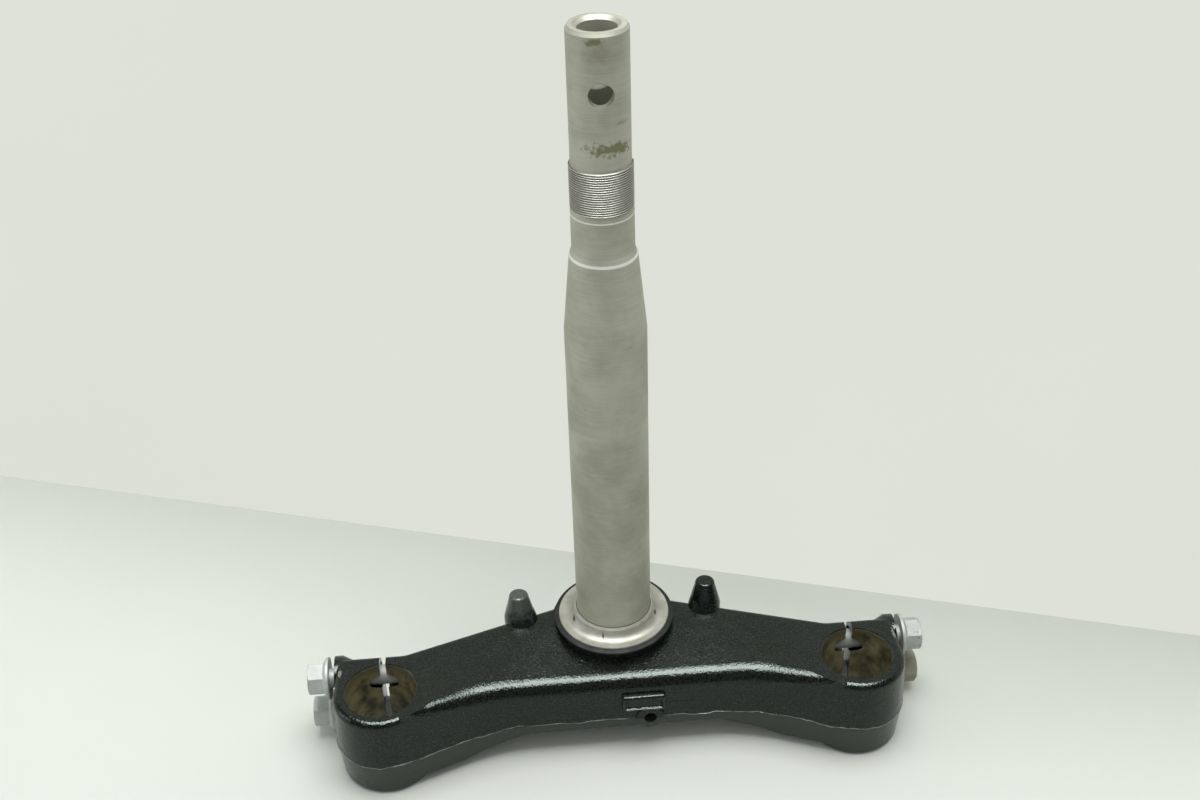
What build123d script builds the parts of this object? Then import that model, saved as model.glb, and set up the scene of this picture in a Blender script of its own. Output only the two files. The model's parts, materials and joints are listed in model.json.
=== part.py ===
from build123d import *
from math import atan2, cos, degrees, radians, sin, tan
import os

# Bottom yoke of a telescopic front fork with its pressed-in steering stem.
# Millimetres, steering axis on Z, underside on Z = 0, front of the machine toward -Y.

# Steering geometry
FORK_SPACING = 221.0
FORK_OFFSET = 36.3
FORK_BORE_R = 16.5
BORE_CHAMFER = 0.5

# Yoke forging: heights and draft on both sides of the parting plane
YOKE_HEIGHT = 45.0
PARTING_HEIGHT = 18.5
UPPER_DRAFT = 3.0
LOWER_DRAFT = 5.0

# Yoke forging: plan outline at the parting plane
CLAMP_WALL = 6.5
BRIDGE_FRONT = 40.5
FRONT_SWEEP = 21.8
REAR_APEX = 22.5
EAR_CORNER_INSET = 10.04
EAR_BEHIND_BOLT = 3.4
BRIDGE_CORNER_R = 30.0
EAR_CORNER_R = 6.0
EAR_OUTER_R = 3.0

# Yoke forging: edges and underside
TOP_EDGE_R = 3.2
BRIDGE_EDGE_R = 8.0
SHOULDER_TILT = 7.0
SHOULDER_RUN = 36.0
SHOULDER_OVERRUN = 10.0
SHOULDER_LIFT = 0.05
SHOULDER_FULL_X = 45.0
SHOULDER_END_X = 85.0
BEND_SECTIONS = 4
LAND_HEIGHT = 6.1
LAND_STEP = 0.4
FOOT_EDGE_R = 2.5
WEB_LIFT = 5.0
ARCH_HEIGHT = 13.0
ARCH_FOOT_INSET = 12.5
ARCH_SLOPE_RUN = 30.0

# Hub round the stem
HUB_WALL = 13.84
HUB_FOOT_WALL = 7.44
HUB_FOOT_CHAMFER = 1.0
HUB_BOSS_INSET = 1.6
HUB_BOSS_HEIGHT = 3.0

# Clamp ears and pinch bolt holes
SLIT_WIDTH = 3.0
EAR_WALL = 2.8
EAR_INNER = 18.0
SEAT_INSET = 0.4
SEAT_MARGIN = 0.3
SEAT_DEPTH = 3.5
SEAT_SLOPE_DEPTH = 4.5
UPPER_BOLT_DROP = 10.5
UPPER_HOLE_CLEARANCE = 1.2
LOWER_BOLT_HEIGHT = 11.7
LOWER_BOLT_SETBACK = 1.8
LOWER_HOLE_CLEARANCE = 0.25
CLEAR_HOLE_END = 10.0
THREAD_RUN_OUT = 2.6

# Steering stop pegs
PEG_X = 45.0
PEG_ROOT_R = 7.6
PEG_TOE = 2.4
PEG_TOE_HEIGHT = 4.0
PEG_TOP_R = 4.7
PEG_CROWN = 1.6
PEG_HEIGHT = 13.5

# Front pad and hose guide boss
PAD_X = 10.0
PAD_WIDTH = 20.4
PAD_LIFT = 5.6
PAD_HEIGHT = 9.4
PAD_RISE = 2.2
PAD_ROOT = 4.0
PAD_EDGE_R = 1.4
PAD_RIM = 1.8
PAD_RECESS = 0.9
PAD_RECESS_DRAFT = 25.0
GUIDE_X = 13.0
GUIDE_LIFT = 0.5
GUIDE_WALL = 3.6
GUIDE_RISE = 1.2
GUIDE_ROOT = 8.0
GUIDE_EDGE_R = 0.8
GUIDE_HOLE_R = 3.0
GUIDE_HOLE_DEPTH = 11.0

# Steering stem: lengths from the foot up, radii and bores
STEM_R = 17.56
STEM_FOOT_CHAMFER = 1.0
STRAIGHT_LENGTH = 209.5
CONE_LENGTH = 34.7
CONE_TOP_STEP = 1.2
SHOULDER_LENGTH = 3.4
JOURNAL_R = 13.0
JOURNAL_LENGTH = 17.0
THREAD_LENGTH = 20.6
THREAD_DEPTH = 0.3
THREAD_RELIEF = 1.0
NECK_R = 12.23
NECK_LENGTH = 55.4
NECK_CHAMFER_R = 0.95
NECK_CHAMFER_Z = 1.4
NECK_BORE_R = 7.8
NECK_BORE_CHAMFER = 1.5
FOOT_BORE_R = 13.0
FOOT_BORE_CONE = 8.0
BORE_STEP_DROP = 9.5
CROSS_HOLE_DROP = 24.2
CROSS_HOLE_R = 5.0

# Dust seal and lower bearing race
RACE_WIDTH = 8.64
RACE_HEIGHT = 5.7
RACE_RIM_WIDTH = 1.5
RACE_RIM_HEIGHT = 1.0
RACE_RIM_CHAMFER = 0.3
RACE_LAND_WIDTH = 1.74
RACE_LAND_CHAMFER = 0.7
RACE_GROOVE_SAG = 1.3
SEAL_OVERHANG = 2.2
SEAL_SHOULDER = 0.5
SEAL_RIM = 0.9
SEAL_THICKNESS = 1.5

# Pinch bolts
BOLT_R = 5.0
BOLT_WAIST = 0.4
BOLT_LENGTH = 42.0
BOLT_THREAD_LENGTH = 10.5
BOLT_TIP_CHAMFER = 1.0
HEX_SIDES = 6
HEX_WIDTH = 14.0
HEX_HEIGHT = 10.0
HEX_CHAMFER = 0.8
HEX_TOP_INSET = 0.28
FLANGE_R = 9.9
FLANGE_RIM = 1.3
FLANGE_HEIGHT = 2.7
FLANGE_SLOPE = 2.3
UPPER_BOLT_GAP = 3.0
LOWER_BOLT_GAP = 3.2
LEFT_UPPER_TURN = 43.0
LEFT_LOWER_TURN = 47.0
RIGHT_UPPER_TURN = 26.0
RIGHT_LOWER_TURN = 50.0

# Clearances, and the distance within which a place counts as the same
PRESS_CLEARANCE = 0.01
THREAD_CLEARANCE = 0.02
TUBE_CLEARANCE = 0.1
SAME = 0.01

# Pinch bolt radii and axes, just clear of the fork tubes
shank_r = BOLT_R - BOLT_WAIST
thread_r = BOLT_R - THREAD_CLEARANCE
waist_length = BOLT_LENGTH - BOLT_THREAD_LENGTH
hex_corner_r = HEX_WIDTH / 2 / cos(radians(180 / HEX_SIDES))
hex_top_r = HEX_WIDTH / 2 - HEX_TOP_INSET
fork_x = FORK_SPACING / 2
fork_y = -FORK_OFFSET
upper_bolt_y = fork_y + FORK_BORE_R + shank_r + TUBE_CLEARANCE
lower_bolt_y = upper_bolt_y + LOWER_BOLT_SETBACK
upper_bolt_z = YOKE_HEIGHT - UPPER_BOLT_DROP

# Clamps, ears and bolt seats
clamp_r = FORK_BORE_R + CLAMP_WALL
ear_r = BOLT_R + EAR_WALL
seat_reach = clamp_r - SEAT_INSET
seat_r = FLANGE_R + SEAT_MARGIN
seat_root = SEAT_DEPTH + SEAT_SLOPE_DEPTH
seat_x = fork_x + seat_reach
thread_hole_depth = BOLT_LENGTH + THREAD_RUN_OUT

# Points of the plan outline
sweep = radians(FRONT_SWEEP)
touch_x = fork_x - clamp_r * sin(sweep)
touch_y = fork_y - clamp_r * cos(sweep)
corner_x = touch_x - (-BRIDGE_FRONT - touch_y) / tan(sweep)
side_x = fork_x + clamp_r
ear_x = fork_x - EAR_CORNER_INSET
ear_y = upper_bolt_y + EAR_BEHIND_BOLT
rear_sweep = degrees(atan2(REAR_APEX - ear_y, ear_x))
reach = 2 * FORK_SPACING

# Front top edge: straight, bent toward each clamp, then straight to it
upper_lean = radians(UPPER_DRAFT)
top_inset = (YOKE_HEIGHT - PARTING_HEIGHT) * tan(upper_lean)
edge_y = top_inset - BRIDGE_FRONT
bend_x = corner_x - BRIDGE_CORNER_R * tan(sweep / 2)
bend_y = -BRIDGE_FRONT - BRIDGE_CORNER_R
bend_r = BRIDGE_CORNER_R + top_inset
bend_end_x = bend_x + bend_r * sin(sweep)
clamp_start_x = touch_x + top_inset * sin(sweep)

# Heights of the forging and radii of the clamps and round feet
upper_rise = YOKE_HEIGHT - PARTING_HEIGHT
land_top = PARTING_HEIGHT + LAND_HEIGHT
land_r = clamp_r - LAND_HEIGHT * tan(upper_lean)
lip_r = land_r + LAND_STEP - (YOKE_HEIGHT - land_top) * tan(upper_lean)
foot_top_r = clamp_r - (PARTING_HEIGHT - WEB_LIFT) * tan(radians(LOWER_DRAFT))
foot_r = foot_top_r - (WEB_LIFT - FOOT_EDGE_R) * tan(radians(LOWER_DRAFT))
arch_foot_x = fork_x - clamp_r - ARCH_FOOT_INSET
arch_top_x = arch_foot_x - ARCH_SLOPE_RUN
peg_y = REAR_APEX - PEG_X * tan(radians(rear_sweep))
peg_shoulder = PEG_HEIGHT - PEG_CROWN
peg_toe_r = PEG_ROOT_R - (PEG_ROOT_R - PEG_TOP_R) * PEG_TOE_HEIGHT / peg_shoulder
pad_y = -BRIDGE_FRONT - PAD_RISE
pad_z = PARTING_HEIGHT + PAD_LIFT + PAD_HEIGHT / 2
guide_y = -BRIDGE_FRONT - GUIDE_RISE
guide_z = PARTING_HEIGHT + GUIDE_LIFT

# Rings stacked on the hub
race_r = STEM_R + RACE_WIDTH
race_rim_r = race_r - RACE_RIM_WIDTH
race_land_r = STEM_R + RACE_LAND_WIDTH
seal_r = race_r + SEAL_OVERHANG
seal_shoulder_r = race_r + SEAL_SHOULDER
boss_r = seal_r - HUB_BOSS_INSET
hub_foot_r = STEM_R + HUB_FOOT_WALL
boss_top = YOKE_HEIGHT + HUB_BOSS_HEIGHT
seal_top = boss_top + SEAL_THICKNESS
race_rim_top = seal_top + RACE_RIM_HEIGHT
race_top = seal_top + RACE_HEIGHT
land_edge = race_top - RACE_LAND_CHAMFER

# Heights and radii along the stem
stem_r = STEM_R - PRESS_CLEARANCE
core_r = JOURNAL_R - THREAD_DEPTH
cone_top = STRAIGHT_LENGTH + CONE_LENGTH
journal_foot = cone_top + SHOULDER_LENGTH
thread_foot = journal_foot + JOURNAL_LENGTH
thread_top = thread_foot + THREAD_LENGTH
stem_top = thread_top + NECK_LENGTH
bore_step = STRAIGHT_LENGTH - BORE_STEP_DROP
cross_hole_z = stem_top - CROSS_HOLE_DROP


def yoke_plan(round_clamps):
    """Yoke outline at the parting plane, round the fork clamps or cut straight to the fork axes."""
    with BuildSketch(Plane.XY.offset(PARTING_HEIGHT)) as plan:
        with BuildLine():
            Polyline((0, -BRIDGE_FRONT), (corner_x, -BRIDGE_FRONT), (touch_x, touch_y))
            if round_clamps:
                CenterArc((fork_x, fork_y), clamp_r, 270 - FRONT_SWEEP, 90 + FRONT_SWEEP)
            else:
                Polyline((touch_x, touch_y), (fork_x, fork_y), (side_x, fork_y))
            Polyline((side_x, fork_y), (side_x, ear_y), (ear_x, ear_y), (0, REAR_APEX))
            mirror(about=Plane.YZ)
        make_face()
        fillet(plan.vertices().filter_by(lambda v: abs(abs(v.X) - corner_x) < SAME), BRIDGE_CORNER_R)
        fillet(plan.vertices().filter_by(lambda v: abs(abs(v.X) - ear_x) < SAME), EAR_CORNER_R)
        outer_ends = plan.vertices().filter_by(lambda v: abs(abs(v.X) - side_x) < SAME)
        fillet(outer_ends.filter_by(lambda v: abs(v.Y - ear_y) < SAME), EAR_OUTER_R)
    return plan.sketch


def edge_waste(point, inward):
    """Section of the waste over the sloped shoulder and outside the rounded front edge, across it at a point."""
    x = abs(point[0])
    slope = min(max((SHOULDER_END_X - x) / (SHOULDER_END_X - SHOULDER_FULL_X), 0), 1)
    tilt = radians(SHOULDER_TILT * slope)
    run_out = max((x - bend_end_x) / (clamp_start_x - bend_end_x), 0)
    radius = BRIDGE_EDGE_R + (TOP_EDGE_R - BRIDGE_EDGE_R) * run_out
    fall = sin(tilt) * (SHOULDER_RUN - radius / cos(upper_lean)) - cos(tilt) * SHOULDER_LIFT
    centre_z = (radius + fall) / (sin(tilt) * tan(upper_lean) - cos(tilt))
    centre_in = (radius + sin(upper_lean) * centre_z) / cos(upper_lean)
    top_touch = (centre_in - radius * sin(tilt), centre_z + radius * cos(tilt))
    wall_touch = (centre_in - radius * cos(upper_lean), centre_z + radius * sin(upper_lean))
    inner = SHOULDER_RUN + SHOULDER_OVERRUN
    inner_z = SHOULDER_LIFT + SHOULDER_OVERRUN * tan(tilt)
    across_edge = Plane((*point, YOKE_HEIGHT), x_dir=(*inward, 0), z_dir=(inward[1], -inward[0], 0))
    with BuildSketch(across_edge) as waste:
        with BuildLine():
            RadiusArc(top_touch, wall_touch, -radius)
            Polyline(wall_touch, (-BRIDGE_EDGE_R, wall_touch[1]), (-BRIDGE_EDGE_R, BRIDGE_EDGE_R),
                     (inner, BRIDGE_EDGE_R), (inner, inner_z), top_touch)
        make_face()
    return waste.sketch


# Lower yoke
with BuildPart() as lower_yoke:
    # Bridge and ears above the parting plane
    extrude(yoke_plan(round_clamps=False), amount=upper_rise, dir=(0, 0, 1), taper=UPPER_DRAFT)
    top_edges = lower_yoke.faces().sort_by(Axis.Z)[-1].edges()
    fillet(top_edges.sort_by(Axis.Y)[-2:], TOP_EDGE_R)

    # Hub above the parting plane
    with BuildSketch(Plane.XY.offset(PARTING_HEIGHT)) as hub:
        Circle(STEM_R + HUB_WALL)
    extrude(amount=upper_rise, dir=(0, 0, 1), taper=UPPER_DRAFT)

    # Front shoulder: sloped and broadly rounded along the bridge, running out to the clamps' own rounding
    extrude(edge_waste((0, edge_y), (0, 1)), amount=SHOULDER_FULL_X, both=True, mode=Mode.SUBTRACT)
    for side in (-1, 1):
        sections = [edge_waste((side * SHOULDER_FULL_X, edge_y), (0, 1))]
        for step in range(BEND_SECTIONS + 1):
            turn = sweep * step / BEND_SECTIONS
            inward = (side * sin(turn), cos(turn))
            on_bend = (side * bend_x + bend_r * inward[0], bend_y + bend_r * inward[1])
            sections.append(edge_waste(on_bend, inward))
        for x in (SHOULDER_END_X, clamp_start_x):
            on_edge = (side * x, on_bend[1] - (x - bend_end_x) * tan(sweep))
            sections.append(edge_waste(on_edge, inward))
        loft(sections, mode=Mode.SUBTRACT)

    # Round clamps, each with a land above the parting plane and a small step over it
    for side in (-1, 1):
        with BuildSketch(Plane((side * fork_x, fork_y, 0), x_dir=(1, 0, 0), z_dir=(0, -1, 0))) as clamp:
            with BuildLine():
                Polyline((0, PARTING_HEIGHT), (clamp_r, PARTING_HEIGHT), (land_r, land_top),
                         (land_r + LAND_STEP, land_top), (lip_r, YOKE_HEIGHT), (0, YOKE_HEIGHT), close=True)
            make_face()
            fillet(clamp.vertices().filter_by(lambda v: abs(v.X - lip_r) < SAME), TOP_EDGE_R)
        revolve(axis=Axis((side * fork_x, fork_y, 0), (0, 0, 1)))

    # Whole outline below the parting plane, drafted to the underside
    lower_plan = yoke_plan(round_clamps=True)
    extrude(lower_plan, amount=PARTING_HEIGHT - WEB_LIFT, dir=(0, 0, -1), taper=LOWER_DRAFT)

    # Underside: arched between the arms, standing on a round foot under each fork
    with BuildSketch(Plane.XZ):
        with BuildLine():
            Polyline((-arch_foot_x, 0), (-arch_foot_x, WEB_LIFT), (-arch_top_x, ARCH_HEIGHT),
                     (arch_top_x, ARCH_HEIGHT), (arch_foot_x, WEB_LIFT), (arch_foot_x, 0), close=True)
        make_face()
    extrude(amount=reach, both=True, mode=Mode.SUBTRACT)
    for side in (-1, 1):
        with BuildSketch(Plane((side * fork_x, fork_y, 0), x_dir=(1, 0, 0), z_dir=(0, -1, 0))):
            with BuildLine():
                Polyline((0, 0), (foot_r - FOOT_EDGE_R, 0))
                RadiusArc((foot_r - FOOT_EDGE_R, 0), (foot_r, FOOT_EDGE_R), -FOOT_EDGE_R)
                Polyline((foot_r, FOOT_EDGE_R), (foot_top_r, WEB_LIFT), (0, WEB_LIFT), (0, 0))
            make_face()
        revolve(axis=Axis((side * fork_x, fork_y, 0), (0, 0, 1)))

    # Hub below the parting plane, its foot and its raised boss
    extrude(hub.sketch, amount=PARTING_HEIGHT - ARCH_HEIGHT, dir=(0, 0, -1), taper=LOWER_DRAFT)
    with BuildSketch(Plane.XZ):
        with BuildLine():
            Polyline((0, 0), (hub_foot_r - HUB_FOOT_CHAMFER, 0), (hub_foot_r, HUB_FOOT_CHAMFER),
                     (hub_foot_r, PARTING_HEIGHT), (boss_r, PARTING_HEIGHT), (boss_r, boss_top), (0, boss_top),
                     close=True)
        make_face()
    revolve(axis=Axis.Z)

    # Ears behind the fork bores, with machined seats for the bolt heads
    for side in (-1, 1):
        ear_start = (side * (fork_x - EAR_INNER), 0, 0)
        with BuildSketch(Plane(ear_start, x_dir=(0, side, 0), z_dir=(side, 0, 0))):
            with Locations((side * upper_bolt_y, upper_bolt_z), (side * lower_bolt_y, LOWER_BOLT_HEIGHT)):
                Circle(ear_r)
            make_hull()
        extrude(amount=EAR_INNER + seat_reach - SEAT_DEPTH)
        for bolt_y, bolt_z in ((upper_bolt_y, upper_bolt_z), (lower_bolt_y, LOWER_BOLT_HEIGHT)):
            seat = Vector(side * seat_x, bolt_y, bolt_z)
            with BuildSketch(Plane(seat, x_dir=(0, 1, 0), z_dir=(0, 0, side))):
                with BuildLine():
                    Polyline((0, 0), (seat_r, 0), (seat_r, SEAT_DEPTH), (ear_r, seat_root), (0, seat_root),
                             close=True)
                make_face()
            revolve(axis=Axis(seat, (side, 0, 0)))
            with BuildSketch(Plane(seat, z_dir=(side, 0, 0))):
                Circle(seat_r)
            extrude(amount=SEAT_DEPTH, mode=Mode.SUBTRACT)

    # Steering stop pegs at the rear edge, each with a toe spread to the front
    for side in (-1, 1):
        peg_base = Vector(side * PEG_X, peg_y, YOKE_HEIGHT)
        along_edge = Vector(1, 0, 0).rotate(Axis.Z, -side * rear_sweep)
        front = along_edge.cross(Vector(0, 0, 1))
        with BuildSketch(Plane(peg_base, x_dir=along_edge, z_dir=front)):
            with BuildLine():
                Polyline((0, -upper_rise), (PEG_ROOT_R, -upper_rise), (PEG_ROOT_R, 0),
                         (PEG_TOP_R, peg_shoulder))
                RadiusArc((PEG_TOP_R, peg_shoulder), (PEG_TOP_R - PEG_CROWN, PEG_HEIGHT), -PEG_CROWN)
                Polyline((PEG_TOP_R - PEG_CROWN, PEG_HEIGHT), (0, PEG_HEIGHT), (0, -upper_rise))
            make_face()
        revolve(axis=Axis(peg_base, (0, 0, 1)))
        with BuildSketch(Plane(peg_base + front * PEG_TOE)):
            Circle(PEG_ROOT_R)
        with BuildSketch(Plane(peg_base + Vector(0, 0, PEG_TOE_HEIGHT))):
            Circle(peg_toe_r)
        loft()

    # Hose guide boss, and over it a raised pad with a sunk face, on the front wall
    with BuildSketch(Plane((GUIDE_X, -BRIDGE_FRONT + GUIDE_ROOT, guide_z), z_dir=(0, -1, 0))):
        Circle(GUIDE_HOLE_R + GUIDE_WALL)
    extrude(amount=GUIDE_ROOT + GUIDE_RISE)
    fillet(lower_yoke.edges().filter_by_position(Axis.Y, guide_y - SAME, guide_y + SAME), GUIDE_EDGE_R)
    pad_root = (PAD_X, -BRIDGE_FRONT + PAD_ROOT, pad_z)
    with BuildSketch(Plane(pad_root, x_dir=(1, 0, 0), z_dir=(0, -1, 0))):
        RectangleRounded(PAD_WIDTH, PAD_HEIGHT, PAD_EDGE_R)
    extrude(amount=PAD_ROOT + PAD_RISE)
    fillet(lower_yoke.edges().filter_by_position(Axis.Y, pad_y - SAME, pad_y + SAME), PAD_EDGE_R)
    with BuildSketch(Plane((PAD_X, pad_y, pad_z), x_dir=(1, 0, 0), z_dir=(0, 1, 0))):
        Rectangle(PAD_WIDTH - 2 * PAD_RIM, PAD_HEIGHT - 2 * PAD_RIM)
    extrude(amount=PAD_RECESS, dir=(0, 1, 0), taper=PAD_RECESS_DRAFT, mode=Mode.SUBTRACT)

    # Fork bores with chamfered mouths, and the slits open at the back
    with BuildSketch():
        with Locations((-fork_x, fork_y), (fork_x, fork_y)):
            Circle(FORK_BORE_R)
    extrude(amount=YOKE_HEIGHT, mode=Mode.SUBTRACT)
    mouths = lower_yoke.edges().filter_by(GeomType.CIRCLE)
    chamfer(mouths.filter_by(lambda e: abs(e.radius - FORK_BORE_R) < SAME), BORE_CHAMFER)
    with BuildSketch():
        with Locations((-fork_x, fork_y), (fork_x, fork_y)):
            Rectangle(SLIT_WIDTH, reach, align=(Align.CENTER, Align.MIN))
    extrude(amount=YOKE_HEIGHT, mode=Mode.SUBTRACT)

    # Pinch bolt holes, clear through the outer ear and tapped in the inner one
    for side in (-1, 1):
        for bolt_y, bolt_z, clearance in ((upper_bolt_y, upper_bolt_z, UPPER_HOLE_CLEARANCE),
                                          (lower_bolt_y, LOWER_BOLT_HEIGHT, LOWER_HOLE_CLEARANCE)):
            seat_face = Plane((side * seat_x, bolt_y, bolt_z), z_dir=(-side, 0, 0))
            with BuildSketch(seat_face):
                Circle(BOLT_R + clearance)
            extrude(amount=seat_reach + CLEAR_HOLE_END, mode=Mode.SUBTRACT)
            with BuildSketch(seat_face):
                Circle(BOLT_R)
            extrude(amount=thread_hole_depth, mode=Mode.SUBTRACT)

    # Stem bore and the tapped hole in the guide boss
    with BuildSketch():
        Circle(STEM_R)
    extrude(amount=boss_top, mode=Mode.SUBTRACT)
    with BuildSketch(Plane((GUIDE_X, guide_y, guide_z), z_dir=(0, 1, 0))):
        Circle(GUIDE_HOLE_R)
    extrude(amount=GUIDE_HOLE_DEPTH, mode=Mode.SUBTRACT)

# Steering stem: turned tube with journal, thread seat, neck and cross hole
with BuildPart() as steering_stem:
    with BuildSketch(Plane.XZ):
        with BuildLine():
            Polyline((FOOT_BORE_R, 0), (stem_r - STEM_FOOT_CHAMFER, 0), (stem_r, STEM_FOOT_CHAMFER),
                     (stem_r, STRAIGHT_LENGTH), (JOURNAL_R + CONE_TOP_STEP, cone_top),
                     (JOURNAL_R, journal_foot), (JOURNAL_R, thread_foot),
                     (core_r, thread_foot + THREAD_RELIEF), (core_r, thread_top - THREAD_RELIEF),
                     (NECK_R, thread_top),
                     (NECK_R, stem_top - NECK_CHAMFER_Z), (NECK_R - NECK_CHAMFER_R, stem_top),
                     (NECK_BORE_R + NECK_BORE_CHAMFER, stem_top), (NECK_BORE_R, stem_top - NECK_BORE_CHAMFER),
                     (NECK_BORE_R, bore_step), (FOOT_BORE_R, bore_step - FOOT_BORE_CONE), close=True)
        make_face()
    revolve(axis=Axis.Z)
    with BuildSketch(Plane((0, 0, cross_hole_z), x_dir=(1, 0, 0), z_dir=(0, 1, 0))):
        Circle(CROSS_HOLE_R)
    extrude(amount=2 * NECK_R, both=True, mode=Mode.SUBTRACT)

# Dust seal under the bearing
with BuildPart() as dust_seal:
    with BuildSketch(Plane.XZ):
        with BuildLine():
            Polyline((STEM_R, boss_top), (seal_r, boss_top), (seal_r, boss_top + SEAL_RIM),
                     (seal_shoulder_r, seal_top), (STEM_R, seal_top), close=True)
        make_face()
    revolve(axis=Axis.Z)

# Lower bearing race with its ball groove
with BuildPart() as lower_bearing_race:
    with BuildSketch(Plane.XZ):
        with BuildLine():
            Polyline((STEM_R, seal_top), (race_r, seal_top), (race_r, race_rim_top - RACE_RIM_CHAMFER),
                     (race_r - RACE_RIM_CHAMFER, race_rim_top), (race_rim_r, race_rim_top))
            SagittaArc((race_rim_r, race_rim_top), (race_land_r, land_edge), RACE_GROOVE_SAG)
            Polyline((race_land_r, land_edge), (race_land_r - RACE_LAND_CHAMFER, race_top),
                     (STEM_R, race_top), (STEM_R, seal_top))
        make_face()
    revolve(axis=Axis.Z)


def pinch_bolt(side, gap, bolt_y, bolt_z, turn):
    """Hex flange bolt with a plain waist, head outward, standing off its seat by the gap."""
    under_head = Vector(side * (seat_x + gap), bolt_y, bolt_z)
    axis = Axis(under_head, (side, 0, 0))
    turned = Plane(under_head, x_dir=(0, 1, 0), z_dir=(0, 0, -side))
    with BuildPart() as bolt:
        # Hexagon with its top corners turned off
        with BuildSketch(Plane(under_head, x_dir=(0, 1, 0), z_dir=(side, 0, 0))):
            RegularPolygon(HEX_WIDTH / 2, HEX_SIDES, major_radius=False, rotation=turn)
        extrude(amount=HEX_HEIGHT)
        with BuildSketch(turned):
            with BuildLine():
                Polyline((0, 0), (hex_corner_r, 0), (hex_corner_r, HEX_HEIGHT - HEX_CHAMFER),
                         (hex_top_r, HEX_HEIGHT), (0, HEX_HEIGHT), close=True)
            make_face()
        revolve(axis=axis, mode=Mode.INTERSECT)
        # Flange, plain waist and threaded end
        with BuildSketch(turned):
            with BuildLine():
                Polyline((0, -BOLT_LENGTH), (thread_r - BOLT_TIP_CHAMFER, -BOLT_LENGTH),
                         (thread_r, BOLT_TIP_CHAMFER - BOLT_LENGTH),
                         (thread_r, -waist_length - BOLT_TIP_CHAMFER), (shank_r, -waist_length), (shank_r, 0),
                         (FLANGE_R, 0), (FLANGE_R, FLANGE_RIM), (FLANGE_R - FLANGE_SLOPE, FLANGE_HEIGHT),
                         (0, FLANGE_HEIGHT), close=True)
            make_face()
        revolve(axis=axis)
    return bolt.part


left_upper_pinch_bolt = pinch_bolt(-1, UPPER_BOLT_GAP, upper_bolt_y, upper_bolt_z, LEFT_UPPER_TURN)
left_lower_pinch_bolt = pinch_bolt(-1, LOWER_BOLT_GAP, lower_bolt_y, LOWER_BOLT_HEIGHT, LEFT_LOWER_TURN)
right_upper_pinch_bolt = pinch_bolt(1, UPPER_BOLT_GAP, upper_bolt_y, upper_bolt_z, RIGHT_UPPER_TURN)
right_lower_pinch_bolt = pinch_bolt(1, LOWER_BOLT_GAP, lower_bolt_y, LOWER_BOLT_HEIGHT, RIGHT_LOWER_TURN)

# Labels and files
os.makedirs("parts", exist_ok=True)
lower_yoke.part.label = "lower_yoke"
steering_stem.part.label = "steering_stem"
dust_seal.part.label = "dust_seal"
lower_bearing_race.part.label = "lower_bearing_race"
left_upper_pinch_bolt.label = "left_upper_pinch_bolt"
left_lower_pinch_bolt.label = "left_lower_pinch_bolt"
right_upper_pinch_bolt.label = "right_upper_pinch_bolt"
right_lower_pinch_bolt.label = "right_lower_pinch_bolt"
export_step(lower_yoke.part, "parts/lower_yoke.step")
export_step(steering_stem.part, "parts/steering_stem.step")
export_step(dust_seal.part, "parts/dust_seal.step")
export_step(lower_bearing_race.part, "parts/lower_bearing_race.step")
export_step(left_upper_pinch_bolt, "parts/left_upper_pinch_bolt.step")
export_step(left_lower_pinch_bolt, "parts/left_lower_pinch_bolt.step")
export_step(right_upper_pinch_bolt, "parts/right_upper_pinch_bolt.step")
export_step(right_lower_pinch_bolt, "parts/right_lower_pinch_bolt.step")
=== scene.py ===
# %% [markdown]
# # Dressing the bottom yoke of a motorcycle fork
# The part is a black forged yoke with a turned steering stem pressed into it. Its solids come from CAD
# at their real size, so this lesson never moves them. It adds what CAD leaves out: the long sweep of the
# forging's front wall, its flash line, the thread on the stem, softened bolt heads, and the finish of
# every surface.

# %% Load the CAD frame
import json
import math

import bmesh
import bpy
from mathutils import Matrix, Vector, noise


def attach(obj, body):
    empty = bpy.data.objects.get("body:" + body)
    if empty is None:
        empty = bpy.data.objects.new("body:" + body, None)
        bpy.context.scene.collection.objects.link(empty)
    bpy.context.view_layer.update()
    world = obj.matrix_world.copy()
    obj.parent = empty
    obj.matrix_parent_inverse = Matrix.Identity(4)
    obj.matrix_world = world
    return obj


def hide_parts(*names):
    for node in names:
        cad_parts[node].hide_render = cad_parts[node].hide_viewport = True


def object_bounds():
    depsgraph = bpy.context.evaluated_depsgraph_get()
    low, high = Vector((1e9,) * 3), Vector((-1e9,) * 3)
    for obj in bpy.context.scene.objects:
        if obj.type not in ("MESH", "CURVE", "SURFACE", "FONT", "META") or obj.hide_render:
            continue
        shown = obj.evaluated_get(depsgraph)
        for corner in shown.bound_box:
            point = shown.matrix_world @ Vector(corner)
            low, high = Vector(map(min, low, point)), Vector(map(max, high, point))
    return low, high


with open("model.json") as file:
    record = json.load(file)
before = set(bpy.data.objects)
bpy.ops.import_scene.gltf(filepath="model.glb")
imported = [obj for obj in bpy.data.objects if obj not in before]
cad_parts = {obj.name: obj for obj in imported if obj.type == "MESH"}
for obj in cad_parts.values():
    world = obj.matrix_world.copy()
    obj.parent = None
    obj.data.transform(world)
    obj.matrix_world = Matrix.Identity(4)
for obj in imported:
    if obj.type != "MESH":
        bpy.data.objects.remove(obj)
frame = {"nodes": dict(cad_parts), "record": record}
cad_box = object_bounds()
nodes = frame["nodes"]
mounts = {mount["name"]: mount for mount in frame["record"]["mounts"]}
MM = 0.001
print("CAD nodes:", ", ".join(sorted(nodes)))

# %% [markdown]
# ## Camera
# The photograph was taken by hand from the front, a little to the left and looking well down, with the
# horizon slightly tilted. A camera can be aimed with a constraint, but a fixed place and three angles
# say exactly the same thing every time the script runs.

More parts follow.
